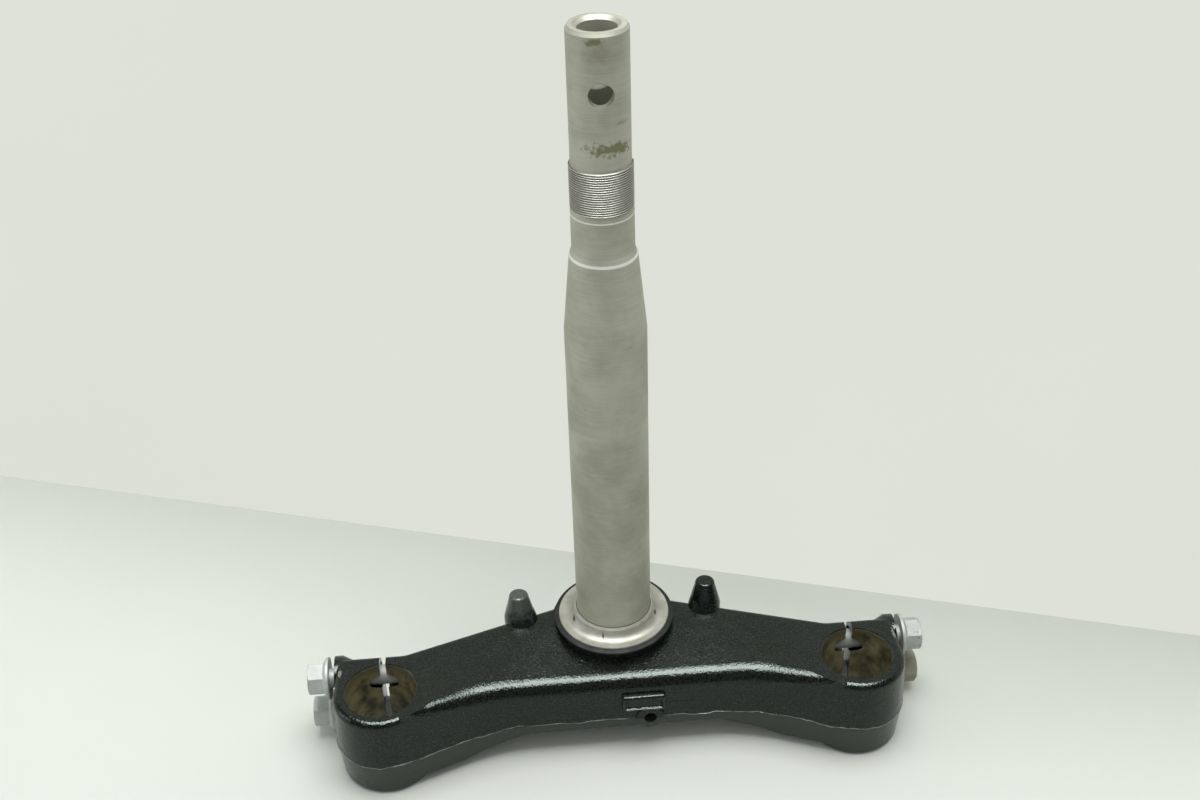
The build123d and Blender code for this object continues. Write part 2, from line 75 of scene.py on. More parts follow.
# %% Camera at the photograph's angle
CAMERA_PLACE = Vector((-37.26, -527.55, 531.24)) * MM
CAMERA_TURN = math.radians(-3.6813)
CAMERA_TILT = math.radians(34.1729)
CAMERA_ROLL = math.radians(-1.8401)
LENS_MM = 44.239
SENSOR_MM = 36.0

toward_camera = Vector((math.sin(CAMERA_TURN) * math.cos(CAMERA_TILT),
                        -math.cos(CAMERA_TURN) * math.cos(CAMERA_TILT),
                        math.sin(CAMERA_TILT)))
aim = toward_camera.to_track_quat("Z", "Y").to_matrix().to_4x4()
camera = bpy.data.objects.new("camera", bpy.data.cameras.new("camera"))
camera.data.lens = LENS_MM
camera.data.sensor_fit = "HORIZONTAL"
camera.data.sensor_width = SENSOR_MM
camera.matrix_world = Matrix.Translation(CAMERA_PLACE) @ aim @ Matrix.Rotation(CAMERA_ROLL, 4, "Z")
scene = bpy.context.scene
scene.collection.objects.link(camera)
scene.camera = camera
scene.view_settings.view_transform = "Standard"
print("camera", [round(value, 3) for value in camera.location])

# %% [markdown]
# ## Helpers for shader nodes
# A node tree is easiest to read when each node takes one line. One helper fills a node's inputs, by value
# or by link, and one adds a node. Three short ones wrap the nodes that are used most, and the last two
# make a node group and place it.

# %% Node helpers
def fill(tree, node, inputs):
    """A value or a link for each named input of a node."""
    for name, value in inputs.items():
        if isinstance(value, bpy.types.NodeSocket):
            tree.links.new(value, node.inputs[name])
        else:
            node.inputs[name].default_value = value


def add(tree, kind, inputs=None, **settings):
    """One shader node with its settings and its inputs."""
    made = tree.nodes.new("ShaderNode" + kind)
    for name, value in settings.items():
        setattr(made, name, value)
    fill(tree, made, inputs or {})
    return made


def calc(tree, operation, first, second=0.0):
    """A Math node's result."""
    return add(tree, "Math", {0: first, 1: second}, operation=operation).outputs[0]


def fade(tree, value, start, end, low=0.0, high=1.0):
    """A value carried smoothly from low to high as the input goes from start to end."""
    inputs = {"Value": value, "From Min": start, "From Max": end, "To Min": low, "To Max": high}
    return add(tree, "MapRange", inputs, interpolation_type="SMOOTHSTEP").outputs["Result"]


def blend(tree, mask, first, second):
    """The first colour where the mask is 0, and the second where it is 1."""
    return add(tree, "Mix", {0: mask, 6: first, 7: second}, data_type="RGBA").outputs[2]


def new_group(name, inputs, outputs):
    """An empty node group, with its input sockets and output sockets."""
    tree = bpy.data.node_groups.new(name, "ShaderNodeTree")
    for label, kind, default in inputs:
        socket = tree.interface.new_socket(label, in_out="INPUT", socket_type="NodeSocket" + kind)
        socket.default_value = default
    for label, kind in outputs:
        tree.interface.new_socket(label, in_out="OUTPUT", socket_type="NodeSocket" + kind)
    return tree, tree.nodes.new("NodeGroupInput").outputs, tree.nodes.new("NodeGroupOutput").inputs


def use(tree, group, **inputs):
    """The outputs of a node group placed in a material."""
    return add(tree, "Group", inputs, node_tree=group).outputs


print("node helpers ready")

# %% [markdown]
# ## Effects that several finishes share
# Paint, steel, zinc and rubber all vary in tone from place to place, all have a fine bump, and most carry
# local marks such as stains and chips. Each of these effects is a node group, built once and placed in a
# material with its own values. All of them read Object coordinates, in metres, so that a mark stays
# where it was put from whatever side it is seen.

# %% Cloudy tone, a slow drift of tone over a surface
CLOUD_SPREAD = (0.3, 0.7)
cloudy_tone, inp, out = new_group(
    "cloudy_tone",
    [("Vector", "Vector", (0, 0, 0)), ("Scale", "Float", 60.0), ("Low", "Float", 0.0),
     ("High", "Float", 1.0)],
    [("Value", "Float")])
clouds = add(cloudy_tone, "TexNoise", {"Vector": inp["Vector"], "Scale": inp["Scale"], "Detail": 4.0,
                                       "Roughness": 0.6})
drift = fade(cloudy_tone, clouds.outputs["Fac"], *CLOUD_SPREAD, inp["Low"], inp["High"])
cloudy_tone.links.new(drift, out["Value"])
print("group", cloudy_tone.name)

# %% Worn patch, a ragged local mark
EDGE_SWING = 4.0
worn_patch, inp, out = new_group(
    "worn_patch",
    [("Vector", "Vector", (0, 0, 0)), ("Centre", "Vector", (0, 0, 0)), ("Size", "Vector", (1, 1, 1)),
     ("Ragged", "Float", 0.5), ("Grain", "Float", 400.0), ("Soft", "Float", 0.2)],
    [("Mask", "Float")])
offset = add(worn_patch, "VectorMath", {0: inp["Vector"], 1: inp["Centre"]}, operation="SUBTRACT")
scaled = add(worn_patch, "VectorMath", {0: offset.outputs[0], 1: inp["Size"]}, operation="DIVIDE")
reach = add(worn_patch, "VectorMath", {0: scaled.outputs[0]}, operation="LENGTH")
edge = add(worn_patch, "TexNoise", {"Vector": inp["Vector"], "Scale": inp["Grain"], "Detail": 3.0})
uneven = calc(worn_patch, "MULTIPLY", calc(worn_patch, "SUBTRACT", edge.outputs["Fac"], 0.5), inp["Ragged"])
rim = calc(worn_patch, "ADD", reach.outputs["Value"], calc(worn_patch, "MULTIPLY", uneven, EDGE_SWING))
inner = calc(worn_patch, "SUBTRACT", 1.0, inp["Soft"])
outer = calc(worn_patch, "ADD", 1.0, inp["Soft"])
worn_patch.links.new(fade(worn_patch, rim, outer, inner), out["Mask"])
print("group", worn_patch.name)

# %% Pebbled skin, the fine bump of paint, rubber and plating
BROAD_SCALE = 0.25
pebbled_skin, inp, out = new_group(
    "pebbled_skin",
    [("Vector", "Vector", (0, 0, 0)), ("Scale", "Float", 900.0), ("Coarse", "Float", 0.4)],
    [("Height", "Float")])
fine = add(pebbled_skin, "TexNoise", {"Vector": inp["Vector"], "Scale": inp["Scale"], "Detail": 2.0})
broad_scale = calc(pebbled_skin, "MULTIPLY", inp["Scale"], BROAD_SCALE)
broad = add(pebbled_skin, "TexNoise", {"Vector": inp["Vector"], "Scale": broad_scale, "Detail": 1.0})
broad_part = calc(pebbled_skin, "MULTIPLY", broad.outputs["Fac"], inp["Coarse"])
pebbled_skin.links.new(calc(pebbled_skin, "ADD", fine.outputs["Fac"], broad_part), out["Height"])
print("group", pebbled_skin.name)

# %% Lathe grain, fine rings round the stem's axis
lathe_grain, inp, out = new_group(
    "lathe_grain",
    [("Vector", "Vector", (0, 0, 0)), ("Rings", "Float", 5000.0), ("Round", "Float", 40.0)],
    [("Height", "Float")])
stretch = add(lathe_grain, "CombineXYZ", {"X": inp["Round"], "Y": inp["Round"], "Z": inp["Rings"]})
rings = add(lathe_grain, "VectorMath", {0: inp["Vector"], 1: stretch.outputs[0]}, operation="MULTIPLY")
turned = add(lathe_grain, "TexNoise", {"Vector": rings.outputs[0], "Scale": 1.0, "Detail": 3.0})
lathe_grain.links.new(turned.outputs["Fac"], out["Height"])
print("group", lathe_grain.name)

# %% Helpers for a material
def new_material(name):
    """A material, its tree, its Principled shader and its Object coordinates."""
    material = bpy.data.materials.new(name)
    material.use_nodes = True
    tree = material.node_tree
    shader = tree.nodes["Principled BSDF"]
    return material, tree, shader, add(tree, "TexCoord").outputs["Object"]


def cloudy(tree, place, scale, low=0.0, high=1.0):
    """Cloudy tone between two values, at a scale per metre."""
    return use(tree, cloudy_tone, Vector=place, Scale=scale, Low=low, High=high)["Value"]


def raised(tree, height, depth):
    """The normal of a height between 0 and 1 that stands for a depth in millimetres."""
    return add(tree, "Bump", {"Height": height, "Strength": 1.0, "Distance": depth * MM}).outputs["Normal"]


def dress(obj, material):
    """One material on an object, in place of any that it had."""
    obj.data.materials.clear()
    obj.data.materials.append(material)


print("material helpers ready")

# %% Helpers for masks
def mark(tree, place, centre, size, ragged, grain, soft):
    """Mask of one mark; its centre and half sizes are in millimetres."""
    return use(tree, worn_patch, Vector=place, Centre=Vector(centre) * MM, Size=Vector(size) * MM,
               Ragged=ragged, Grain=grain, Soft=soft)["Mask"]


def any_of(tree, masks):
    """The strongest of several masks."""
    strongest = masks[0]
    for mask in masks[1:]:
        strongest = calc(tree, "MAXIMUM", strongest, mask)
    return strongest


def marks(tree, place, spots):
    """Mask of several marks; a spot holds a centre, half sizes, raggedness, grain and softness."""
    return any_of(tree, [mark(tree, place, *spot) for spot in spots])


def axes_of(tree, place):
    """The X, Y and Z of each point."""
    return add(tree, "SeparateXYZ", {0: place}).outputs


def flat_length(tree, x, y):
    """Length of a line that lies flat."""
    flat = add(tree, "CombineXYZ", {"X": x, "Y": y})
    return add(tree, "VectorMath", {0: flat.outputs[0]}, operation="LENGTH").outputs["Value"]


def from_axis(tree, place):
    """Distance of each point from the stem's axis."""
    axes = axes_of(tree, place)
    return flat_length(tree, axes["X"], axes["Y"])


def band(tree, height, low, high, soft):
    """1 between two heights in millimetres, fading to 0 over a soft edge."""
    rise = fade(tree, height, (low - soft) * MM, low * MM)
    fall = fade(tree, height, (high + soft) * MM, high * MM)
    return calc(tree, "MULTIPLY", rise, fall)


print("mask helpers ready")

# %% [markdown]
# ## Studio
# The object stands on a pale board with a pale wall close behind it. A soft panel hangs overhead, which
# gives the paint its one bright band along each rounded edge. A panel bright enough for that band would
# bleach the floor, so it is seen only in reflections, and a larger one, higher up, lights the surfaces. A
# weak panel at the left lightens that edge of the stem. The room in front is dark, so the paint turns
# black just under the band. The wall is lit evenly by its own colour, and its back is see-through, because
# it would hide the part from behind.

# %% Floor and wall
FLOOR_HALF = (3.0, 3.0)
WALL_HALF = (0.8, 0.185)
WALL_PLACE = Vector((0, 100, 185)) * MM
WALL_TURN = math.radians(-18.03)
FLOOR_COLOUR = (0.68, 0.71, 0.66, 1)
WALL_COLOUR = (0.74, 0.76, 0.69, 1)
SHEET_SHADE = 0.9


def stage_sheet(name, half_size, colour, turn):
    """A flat pale sheet that isn't part of the object."""
    sheet = bmesh.new()
    bmesh.ops.create_grid(sheet, x_segments=1, y_segments=1, size=1.0)
    bmesh.ops.scale(sheet, vec=half_size + (1.0,), verts=sheet.verts)
    bmesh.ops.transform(sheet, matrix=turn, verts=sheet.verts)
    mesh = bpy.data.meshes.new(name)
    sheet.to_mesh(mesh)
    sheet.free()
    board = bpy.data.objects.new(name, mesh)
    scene.collection.objects.link(board)
    material, tree, shader, place = new_material(name)
    shade = tuple(SHEET_SHADE * channel for channel in colour[:3]) + (1,)
    fill(tree, shader, {"Base Color": blend(tree, cloudy(tree, place, scale=3.0, high=0.3), colour, shade),
                        "Roughness": 0.9, "Specular IOR Level": 0.1})
    dress(board, material)
    return material


stage_sheet("floor", FLOOR_HALF, FLOOR_COLOUR, Matrix.Identity(4))
upright = Matrix.Rotation(math.radians(90), 4, "X")
wall_place = Matrix.Translation(WALL_PLACE) @ Matrix.Rotation(WALL_TURN, 4, "Z") @ upright
wall_paint = stage_sheet("wall", WALL_HALF, WALL_COLOUR, wall_place)
print("floor and wall staged")

# %% Wall that glows evenly and has a clear back
tree = wall_paint.node_tree
shader = tree.nodes["Principled BSDF"]
ray = add(tree, "LightPath").outputs
seen = calc(tree, "MAXIMUM", ray["Is Camera Ray"], ray["Is Glossy Ray"])
glow = add(tree, "Emission", {"Color": shader.inputs["Base Color"].links[0].from_socket})
front = add(tree, "MixShader", {0: seen, 1: shader.outputs[0], 2: glow.outputs[0]})
behind = add(tree, "NewGeometry").outputs["Backfacing"]
clear = add(tree, "BsdfTransparent")
one_sided = add(tree, "MixShader", {0: behind, 1: front.outputs[0], 2: clear.outputs[0]})
fill(tree, tree.nodes["Material Output"], {"Surface": one_sided.outputs[0]})
print("wall finished")

# %% Lamps and room
FILL_PLACE = Vector((250, 0, 2000)) * MM
FILL_SIZE = (1.6, 1.2)
FILL_WATTS = 32.0
MIRRORED_PLACE = Vector((0, -40, 1200)) * MM
MIRRORED_SIZE = (1.0, 0.75)
MIRRORED_WATTS = 56.0
SIDE_PLACE = Vector((-1100, 0, 450)) * MM
SIDE_SIZE = (0.8, 0.5)
SIDE_WATTS = 2.6
SIDE_TURN = math.radians(-90)
DARK_ROOM = (0.06, 0.06, 0.06, 1)
SOFT_LIGHT = (0.50, 0.50, 0.50, 1)
BACKGROUND = (0.74, 0.76, 0.68, 1)


def panel(name, watts, place, size, turn=0.0):
    """A soft panel that faces down, or sideways when it is turned about Y."""
    lamp = bpy.data.objects.new(name, bpy.data.lights.new(name, "AREA"))
    lamp.data.shape = "RECTANGLE"
    lamp.data.size, lamp.data.size_y = size
    lamp.data.energy = watts
    lamp.location = place
    lamp.rotation_euler.y = turn
    scene.collection.objects.link(lamp)
    return lamp


panel("fill_panel", FILL_WATTS, FILL_PLACE, FILL_SIZE).visible_glossy = False
panel("mirrored_panel", MIRRORED_WATTS, MIRRORED_PLACE, MIRRORED_SIZE).visible_diffuse = False
panel("side_panel", SIDE_WATTS, SIDE_PLACE, SIDE_SIZE, SIDE_TURN)
room = bpy.data.worlds.new("room")
room.use_nodes = True
room.cycles.sampling_method = "NONE"
scene.world = room
tree = room.node_tree
ray = add(tree, "LightPath").outputs
soft = blend(tree, ray["Is Camera Ray"], SOFT_LIGHT, BACKGROUND)
fill(tree, tree.nodes["Background"], {"Color": blend(tree, ray["Is Glossy Ray"], soft, DARK_ROOM)})
print("panels of", FILL_WATTS, MIRRORED_WATTS, "and", SIDE_WATTS, "W in a soft room of", SOFT_LIGHT[:3])

# %% [markdown]
# ## Black paint on the forging
# The yoke is forged, shot-blasted and painted, so the paint lies over a pebbled skin and breaks its
# highlights into speckle. Bores are bare and stained brown by old grease. An image could be wrapped round
# the yoke, but noise in Object coordinates needs no unwrapping and shows no seam. A bump made of two sizes
# of noise gives the skin, and the distance from each fork axis says where the bores are.

# %% Where the bores are
fork = mounts["fork_clamp_right"]
FORK_X, FORK_Y = fork["pos_m"][0], fork["pos_m"][1]
BORE_R = fork["dims"]["r_mm"] * MM
PAINT_EDGE = 0.1 * MM


def bore_mask(tree, place):
    """1 on the walls of both fork bores, 0 on the painted surfaces round them."""
    axes = axes_of(tree, place)
    across = calc(tree, "SUBTRACT", calc(tree, "ABSOLUTE", axes["X"]), FORK_X)
    along = calc(tree, "SUBTRACT", axes["Y"], FORK_Y)
    return fade(tree, flat_length(tree, across, along), BORE_R + PAINT_EDGE, BORE_R + PAINT_EDGE / 2)


print("fork bores at", FORK_X, FORK_Y, "radius", BORE_R)

# %% Places where the paint differs
PARTING = 18.5 * MM
PARTING_FADE = 0.6 * MM
FLOOR_REFLECTION_SHARE = 0.6
BORE_MOUTH = (34 * MM, 44 * MM)
MOUTH_SHARE = 0.75
RUBBED_PEG = ((-45, 6, 56), (8, 8, 9), 0.25, 500.0, 0.4)
RUBBED_SHARE = 0.8
SCORED_LINE = ((28.6, -40.2, 27.2), (8, 2, 0.3), 0.2, 300.0, 0.5)
CHIPS = [((-130.0, -23.5, 44.8), (0.8, 2.0, 1.0), 0.6, 1200.0, 0.3),
         ((130.6, -24.5, 44.5), (0.8, 3.0, 1.2), 0.6, 1200.0, 0.3),
         ((112.3, -9.5, 44.6), (0.7, 2.2, 0.9), 0.5, 1200.0, 0.3)]

black_paint, tree, shader, place = new_material("black_paint")
height = axes_of(tree, place)["Z"]
bore = bore_mask(tree, place)
# Below the parting line the paint is made lighter: a painted reflection of the floor.
floor_reflection = fade(tree, height, PARTING + PARTING_FADE, PARTING - PARTING_FADE, high=FLOOR_REFLECTION_SHARE)
mouth = fade(tree, height, *BORE_MOUTH, high=MOUTH_SHARE)
grease = any_of(tree, [cloudy(tree, place, scale=130.0), mouth])
rubbed = calc(tree, "MULTIPLY", mark(tree, place, *RUBBED_PEG), RUBBED_SHARE)
scored = mark(tree, place, *SCORED_LINE)
chips = marks(tree, place, CHIPS)
print("masks for the bores, the floor-reflecting underside, a rubbed peg, a scored line and", len(CHIPS), "chips")

# %% Black paint
PAINT = (0.0018, 0.0024, 0.0020, 1)
PAINT_GRAIN = (0.0165, 0.0200, 0.0172, 1)
# Colour of the paint below the parting line, a painted reflection of the floor.
PAINT_FLOOR_REFLECTION = (0.0460, 0.0540, 0.0460, 1)
PAINT_RUBBED = (0.1000, 0.1100, 0.1000, 1)
PAINT_SHEEN = (0.87, 1.0, 0.93, 1)
BORE_STAIN = (0.300, 0.268, 0.145, 1)
BORE_GREASE = (0.050, 0.043, 0.020, 1)
BORE_ROUGHNESS = 0.5
BARE_STEEL = (0.34, 0.34, 0.31, 1)
SKIN_DEPTH = 0.16
CUT_SHARE = 0.8

paint = blend(tree, cloudy(tree, place, scale=1100.0), PAINT, PAINT_GRAIN)
# Lighter paint below the parting line, a painted reflection of the floor.
paint = blend(tree, floor_reflection, paint, PAINT_FLOOR_REFLECTION)
paint = blend(tree, rubbed, paint, PAINT_RUBBED)
paint = blend(tree, scored, paint, PAINT)
walls = blend(tree, bore, paint, blend(tree, grease, BORE_STAIN, BORE_GREASE))
gloss = cloudy(tree, place, scale=150.0, low=0.12, high=0.20)
skin = use(tree, pebbled_skin, Vector=place, Scale=1000.0, Coarse=0.4)["Height"]
cut = calc(tree, "MULTIPLY", any_of(tree, [chips, scored]), CUT_SHARE)
fill(tree, shader, {"Base Color": blend(tree, chips, walls, BARE_STEEL), "Metallic": chips,
                    "Roughness": add(tree, "Mix", {0: bore, 2: gloss, 3: BORE_ROUGHNESS}).outputs[0],
                    "Specular IOR Level": 0.30, "Specular Tint": PAINT_SHEEN,
                    "Normal": raised(tree, calc(tree, "SUBTRACT", skin, cut), SKIN_DEPTH)})
print("black paint ready")

# %% [markdown]
# ## Yoke with its long sweep
# A forging flows from the bridge into each clamp in one long curve, while the solid turns there on a short
# radius. A copy of the solid is sliced across, so that it has edges to bend at, and its front wall is
# drawn out by about a millimetre at each bend, onto the longer curve. The rest of the copy stays as it is.
# The copy's triangles are long and thin, and normals worked out from them would show as blotches. So the
# solid's own normals are kept in a layer, turned with the wall, and given to the finished mesh.

# %% Helpers for meshes of the part
MERGE = 0.001 * MM
EDGE_ANGLE = math.radians(24.0)
X_AXIS = Vector((1, 0, 0))
Z_AXIS = Vector((0, 0, 1))


def slice_across(shape, axis, distance, **clear):
    """Cut a bmesh along a plane at a distance along an axis, clearing one side when asked to."""
    bmesh.ops.bisect_plane(shape, geom=shape.verts[:] + shape.edges[:] + shape.faces[:], dist=MERGE,
                           plane_co=axis * distance, plane_no=axis, **clear)


def finished(name, shape, material):
    """A bmesh made into an object of the part, with smooth faces inside sharp edges."""
    mesh = bpy.data.meshes.new(name)
    shape.to_mesh(mesh)
    shape.free()
    piece = bpy.data.objects.new(name, mesh)
    scene.collection.objects.link(piece)
    mesh.shade_smooth()
    mesh.set_sharp_from_angle(angle=EDGE_ANGLE)
    dress(piece, material)
    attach(piece, "root")
    return piece


print("mesh helpers ready")

# %% Short bend and long sweep
WALL_CORNER_X = 59.06 * MM
WALL_SWEEP = math.radians(21.8)
SHORT_R = 30.0 * MM
LONG_R = 100.0 * MM


def swept_out(x, radius):
    """How far the front wall has come forward at x, bending on a radius."""
    along = abs(x) - WALL_CORNER_X + radius * math.tan(WALL_SWEEP / 2)
    if along < 0:
        return 0.0
    if along > radius * math.sin(WALL_SWEEP):
        return (abs(x) - WALL_CORNER_X) * math.tan(WALL_SWEEP)
    return radius - math.sqrt(radius ** 2 - along ** 2)


def wall_lead(x):
    """How much further forward the long sweep brings the wall at x."""
    return swept_out(x, LONG_R) - swept_out(x, SHORT_R)


print("lead at the corner", round(wall_lead(WALL_CORNER_X) / MM, 2), "mm")

# %% Slice a copy of the yoke and draw its wall out
SLICE_STEP = 2.0 * MM
DRAWN_Y = -32.0 * MM
HELD_Y = -18.0 * MM

solid = nodes["lower_yoke"].data
yoke = bmesh.new()
yoke.from_mesh(solid)
facing = yoke.verts.layers.float_vector.new("facing")
corner_facing = yoke.loops.layers.float_vector.new("corner_facing")
yoke.verts.ensure_lookup_table()
for loop in solid.loops:
    yoke.verts[loop.vertex_index][facing] = solid.corner_normals[loop.index].vector
sweep_start = WALL_CORNER_X - LONG_R * math.tan(WALL_SWEEP / 2)
sweep_length = LONG_R * math.sin(WALL_SWEEP)
for step in range(int(sweep_length / SLICE_STEP) + 1):
    for side in (-1, 1):
        slice_across(yoke, X_AXIS, side * (sweep_start + step * SLICE_STEP))
for vert in yoke.verts:
    x, y = vert.co.xy
    drawn = min(max((y - HELD_Y) / (DRAWN_Y - HELD_Y), 0.0), 1.0)
    slope = drawn * (wall_lead(x + MERGE) - wall_lead(x - MERGE)) / (2 * MERGE)
    vert.co.y = y - drawn * wall_lead(x)
    normal = vert[facing]
    vert[facing] = Vector((normal.x + normal.y * slope, normal.y, normal.z)).normalized()
print("sliced and swept", len(yoke.faces), "faces")

# %% Close the swept copy and paint it
for face in yoke.faces:
    for loop in face.loops:
        loop[corner_facing] = loop.vert[facing]
bmesh.ops.remove_doubles(yoke, verts=yoke.verts, dist=MERGE)
facings = [loop[corner_facing].copy() for face in yoke.faces for loop in face.loops]
flash = yoke.copy()
painted_yoke = finished("painted_yoke", yoke, black_paint)
painted_yoke.data.normals_split_custom_set(facings)
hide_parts("lower_yoke")
print(painted_yoke.name, len(painted_yoke.data.polygons), "faces")

# %% [markdown]
# ## Turned steel of the stem
# The stem is turned from tube, which leaves fine rings round it, and it has been handled: brown grime
# lies above the thread and under the top edge. Real grooves would take millions of faces, so the rings
# come from noise stretched round the axis, and each stain is a worn patch with a place of its own.

# %% Stains and painted edge highlights of the stem
THICK_GRIME = [((4, -11, 294.6), (9, 6, 2.2), 0.9, 520.0, 0.45),
               ((-2.5, -12, 337.4), (3.4, 4, 1.2), 0.8, 600.0, 0.5)]
THICK_SHARE = 0.85
THIN_GRIME = [((-1, -12, 333), (4, 4, 3), 0.6, 400.0, 1.0),
              ((8, -9.4, 304.8), (3, 3, 0.7), 0.6, 500.0, 0.7)]
THIN_SHARE = 0.35
# Heights of two bright bands at edges of the stem, which are painted highlights.
HIGHLIT_EDGES = [(244.4, 245.3, 0.3), (263.4, 263.9, 0.2)]
THREAD_RUN = (266.3, 284.7, 0.2)

turned_steel, tree, shader, place = new_material("turned_steel")
thick = calc(tree, "MULTIPLY", marks(tree, place, THICK_GRIME), THICK_SHARE)
thin = calc(tree, "MULTIPLY", marks(tree, place, THIN_GRIME), THIN_SHARE)
height = axes_of(tree, place)["Z"]
# The bright bands at the stem's edges are painted highlights.
edge_highlight = any_of(tree, [band(tree, height, *highlit_edge) for highlit_edge in HIGHLIT_EDGES])
# The thread's core between the ridges is darkened: painted shade in the groove.
core = band(tree, height, *THREAD_RUN)
print("masks for", len(THICK_GRIME + THIN_GRIME), "stains and", len(HIGHLIT_EDGES), "cut edges")

# %% Turned steel
STEEL = (0.435, 0.440, 0.360, 1)
STEEL_DARK = (0.280, 0.286, 0.225, 1)
PAINTED_EDGE_HIGHLIGHT = (0.68, 0.69, 0.64, 1)
GRIME = (0.150, 0.138, 0.062, 1)
# Darker colour in the thread's groove, which is painted shade.
THREAD_GROOVE_SHADE = (0.120, 0.120, 0.104, 1)
RING_SPREAD = (0.35, 0.65)
RING_SHARE = 0.25
RING_DEPTH = 0.008

grain = use(tree, lathe_grain, Vector=place, Rings=2600.0, Round=60.0)["Height"]
ringed = calc(tree, "ADD", cloudy(tree, place, scale=45.0, high=0.7),
              fade(tree, grain, *RING_SPREAD, high=RING_SHARE))
steel = blend(tree, ringed, STEEL, STEEL_DARK)
steel = blend(tree, any_of(tree, [thick, thin]), steel, GRIME)
# Two bright bands at the stem's edges: painted highlights.
steel = blend(tree, edge_highlight, steel, PAINTED_EDGE_HIGHLIGHT)
fill(tree, shader, {"Base Color": blend(tree, core, steel, THREAD_GROOVE_SHADE), "Metallic": 0.2,
                    "Roughness": cloudy(tree, place, scale=70.0, low=0.48, high=0.58),
                    "Specular IOR Level": 0.3, "Normal": raised(tree, grain, RING_DEPTH)})
dress(nodes["steering_stem"], turned_steel)
print("turned steel on the stem")

# %% [markdown]
# ## Ground race and rubber seal
# The lower bearing's inner race is hardened and ground, so it is the brightest thing on the part. Old oil
# has dried in its joint with the stem and in a few spots. Under it sits a thin rubber dust seal. Both
# shapes are right as CAD made them, so the finishes go straight onto the CAD meshes.

# %% Ground steel of the race
GROUND = (0.38, 0.38, 0.330, 1)
GROUND_DULL = (0.28, 0.28, 0.235, 1)
OLD_OIL = (0.050, 0.046, 0.034, 1)
OIL_SPOTS = [((-6.7, -19.4, 52.1), (0.35, 2.0, 1.4), 0.2, 900.0, 0.5),
             ((19.3, -6.1, 52.5), (0.8, 1.4, 0.8), 0.4, 900.0, 0.5),
             ((-19.4, -5.9, 52.4), (0.6, 1.8, 0.8), 0.4, 900.0, 0.5)]
CLEAN_R = 17.95 * MM
OILY_R = 17.75 * MM
GRINDING_DEPTH = 0.003

ground_steel, tree, shader, place = new_material("ground_steel")
joint = fade(tree, from_axis(tree, place), CLEAN_R, OILY_R)
oily = any_of(tree, [joint, marks(tree, place, OIL_SPOTS)])
clean = blend(tree, cloudy(tree, place, scale=120.0), GROUND, GROUND_DULL)
grain = use(tree, lathe_grain, Vector=place, Rings=6000.0, Round=80.0)["Height"]
fill(tree, shader, {"Base Color": blend(tree, oily, clean, OLD_OIL), "Metallic": 0.25,
                    "Roughness": cloudy(tree, place, scale=200.0, low=0.40, high=0.50),
                    "Specular IOR Level": 0.3, "Normal": raised(tree, grain, GRINDING_DEPTH)})
dress(nodes["lower_bearing_race"], ground_steel)
print("ground steel on the race, with", len(OIL_SPOTS), "spots of oil")

# %% Rubber of the seal
RUBBER = (0.009, 0.010, 0.009, 1)
RUBBER_DUSTY = (0.022, 0.025, 0.022, 1)
RUBBER_DEPTH = 0.03

dark_rubber, tree, shader, place = new_material("dark_rubber")
skin = use(tree, pebbled_skin, Vector=place, Scale=1800.0, Coarse=0.3)["Height"]
fill(tree, shader, {"Base Color": blend(tree, cloudy(tree, place, scale=140.0), RUBBER, RUBBER_DUSTY),
                    "Roughness": cloudy(tree, place, scale=260.0, low=0.55, high=0.75),
                    "Specular IOR Level": 0.15, "Normal": raised(tree, skin, RUBBER_DEPTH)})
dress(nodes["dust_seal"], dark_rubber)
print("rubber on the seal")

# %% [markdown]
# ## Pinch bolts
# Four flange bolts close the clamps. The lower right one is tarnished brown, and the one above it has begun
# to rust in specks. The CAD bolts have true sharp edges, which no rolled and plated bolt has, and sharp
# edges catch no light. A copy of each bolt is merged, its flat faces are joined up, and its edges are
# bevelled, which keeps every size and adds the thin bright edge lines.

# %% Zinc plate
ZINC = (0.45, 0.480, 0.46, 1)
ZINC_DULL = (0.36, 0.385, 0.365, 1)
ZINC_BROWN = (0.26, 0.25, 0.19, 1)
TARNISHED_HEAD = ((138, -15, 11.7), (14, 14, 11), 0.15, 200.0, 0.4)
RUSTY_HEAD = ((140, -15, 35), (12, 14, 11), 0.1, 200.0, 0.4)
SPECK_LOW = -2.6
PLATE_DEPTH = 0.0015

zinc_plate, tree, shader, place = new_material("zinc_plate")
tarnish = mark(tree, place, *TARNISHED_HEAD)
# The tone is above zero only at the peaks of the noise, so the rust comes out as specks.
specks = cloudy(tree, place, scale=420.0, low=SPECK_LOW)
rusty = calc(tree, "MULTIPLY", specks, mark(tree, place, *RUSTY_HEAD))
plate = blend(tree, cloudy(tree, place, scale=140.0), ZINC, ZINC_DULL)
plate = blend(tree, rusty, plate, ZINC_BROWN)
skin = use(tree, pebbled_skin, Vector=place, Scale=900.0, Coarse=0.5)["Height"]
fill(tree, shader, {"Base Color": blend(tree, tarnish, plate, ZINC_BROWN), "Metallic": 0.2,
                    "Roughness": cloudy(tree, place, scale=300.0, low=0.56, high=0.64),
                    "Specular IOR Level": 0.3, "Normal": raised(tree, skin, PLATE_DEPTH)})
print("zinc plate ready")

# %% Bolts with softened edges
BOLT_NODES = ["left_upper_pinch_bolt", "left_lower_pinch_bolt", "right_upper_pinch_bolt",
              "right_lower_pinch_bolt"]
FLAT_ANGLE = math.radians(1.0)
BOLT_EDGE = 0.18 * MM

